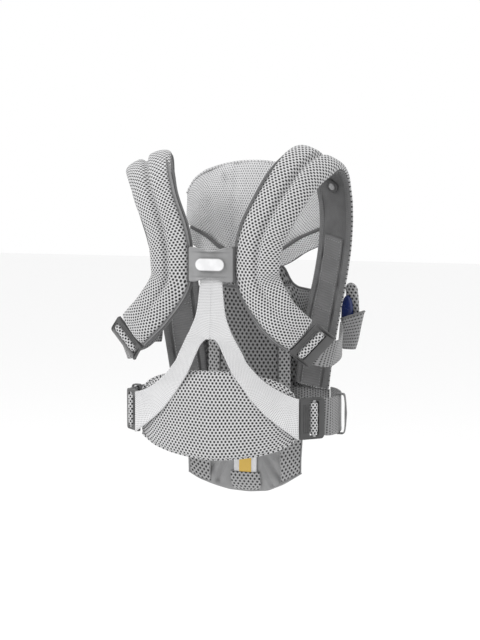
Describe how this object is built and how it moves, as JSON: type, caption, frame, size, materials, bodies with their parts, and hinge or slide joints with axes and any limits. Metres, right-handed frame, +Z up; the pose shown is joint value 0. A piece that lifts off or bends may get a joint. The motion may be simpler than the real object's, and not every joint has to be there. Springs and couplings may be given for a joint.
{
  "type": "soft baby carrier",
  "caption": "Soft carrier worn on an adult's chest: padded mesh shoulder straps, lumbar pad, belt with adjusters, and a front panel with a folding head support.",
  "frame": {"origin": "axis of the wearer's torso at the middle height of the waist belt", "axes": "+Z up, +Y the way the wearer faces, +X to the wearer's right"},
  "size_m": [0.3376, 0.2184, 0.4961],
  "materials": {
    "light_mesh": "knitted spacer mesh, matt",
    "woven_lining": "plain woven lining",
    "woven_webbing": "flat woven webbing",
    "smooth_lining": "smooth woven lining",
    "piping": "corded piping and tape",
    "mesh_webbing": "webbing with a mesh face",
    "dark_mesh": "open diamond mesh",
    "ribbed_tape": "fine ribbed knit",
    "elastic": "woven elastic",
    "moulded_grey": "satin moulded",
    "moulded_dark": "satin moulded",
    "stiffener": "moulded sheet",
    "steel": "plain",
    "badge_white": "gloss",
    "label_white": "satin label tape",
    "label_yellow": "woven label tape",
    "blue_plastic": "gloss"
  },
  "bodies": {
    "harness": {"left_shoulder_pad": "light_mesh", "right_shoulder_pad": "light_mesh", "left_strap_lining": "woven_lining", "right_strap_lining": "woven_lining", "left_rail": "piping", "right_rail": "piping", "left_front_webbing": "woven_webbing", "right_front_webbing": "woven_webbing", "back_plate": "moulded_grey", "plate_backing": "moulded_dark", "plate_screws": "steel", "badge": "badge_white", "y_strap": "ribbed_tape", "lumbar_pad": "light_mesh", "lumbar_stiffener": "stiffener", "lumbar_lining": "woven_lining", "left_waist_webbing": "mesh_webbing", "right_waist_webbing": "mesh_webbing", "front_belt": "mesh_webbing", "left_shoulder_webbing": "mesh_webbing", "right_shoulder_webbing": "mesh_webbing", "inner_panel": "dark_mesh", "front_panel": "light_mesh", "neck_band": "light_mesh", "seat_panel": "smooth_lining", "left_side_pocket": "mesh_webbing", "right_side_pocket": "mesh_webbing", "left_snap": "moulded_dark", "right_snap": "moulded_dark"},
    "head": {"head_support": "light_mesh"},
    "size_strap": {"size_label": "label_white", "size_scale": "label_yellow", "size_tab": "mesh_webbing"},
    "right_waist_adjuster": {"right_waist_frame": "moulded_dark", "right_waist_bar": "steel"},
    "right_shoulder_adjuster": {"right_shoulder_frame": "moulded_dark", "right_shoulder_bar": "steel"},
    "right_keeper_loop": {"right_keeper": "elastic"},
    "right_side_latch": {"right_side_tongue": "blue_plastic", "right_side_tab": "mesh_webbing"},
    "left_waist_adjuster": {"left_waist_frame": "moulded_dark", "left_waist_bar": "steel"},
    "left_shoulder_adjuster": {"left_shoulder_frame": "moulded_dark", "left_shoulder_bar": "steel"},
    "left_keeper_loop": {"left_keeper": "elastic"},
    "left_side_latch": {"left_side_tongue": "blue_plastic", "left_side_tab": "mesh_webbing"}
  },
  "joints": [
    {"name": "head_fold", "type": "hinge", "parent": "harness", "child": "head", "pos_m": [0, 0.1, 0.222], "axis": [-1, 0, 0], "range_deg": [0, 140]},
    {"name": "size_slide", "type": "slide", "parent": "harness", "child": "size_strap", "axis": [0, 0, -1], "range_m": [0, 0.008]},
    {"name": "right_waist_tilt", "type": "hinge", "parent": "harness", "child": "right_waist_adjuster", "pos_m": [0.132, -0.037, 0.0035], "axis": [0, 0, -1], "range_deg": [0, 22]},
    {"name": "right_shoulder_tilt", "type": "hinge", "parent": "harness", "child": "right_shoulder_adjuster", "pos_m": [0.133, -0.055, 0.106], "axis": [-0.6663, -0.1453, -0.7314], "range_deg": [0, 22]},
    {"name": "right_keeper_slide", "type": "slide", "parent": "harness", "child": "right_keeper_loop", "axis": [-0.0349, 0.9994, 0], "range_m": [-0.006, 0.006]},
    {"name": "right_latch_release", "type": "slide", "parent": "harness", "child": "right_side_latch", "axis": [0, 0, 1], "range_m": [0, 0.03]},
    {"name": "left_waist_tilt", "type": "hinge", "parent": "harness", "child": "left_waist_adjuster", "pos_m": [-0.132, -0.037, 0.0035], "axis": [0, 0, 1], "range_deg": [0, 22]},
    {"name": "left_shoulder_tilt", "type": "hinge", "parent": "harness", "child": "left_shoulder_adjuster", "pos_m": [-0.133, -0.055, 0.106], "axis": [-0.6663, 0.1453, 0.7314], "range_deg": [0, 22]},
    {"name": "left_keeper_slide", "type": "slide", "parent": "harness", "child": "left_keeper_loop", "axis": [0.0349, 0.9994, 0], "range_m": [-0.006, 0.006]},
    {"name": "left_latch_release", "type": "slide", "parent": "harness", "child": "left_side_latch", "axis": [0, 0, 1], "range_m": [0, 0.03]}
  ]
}
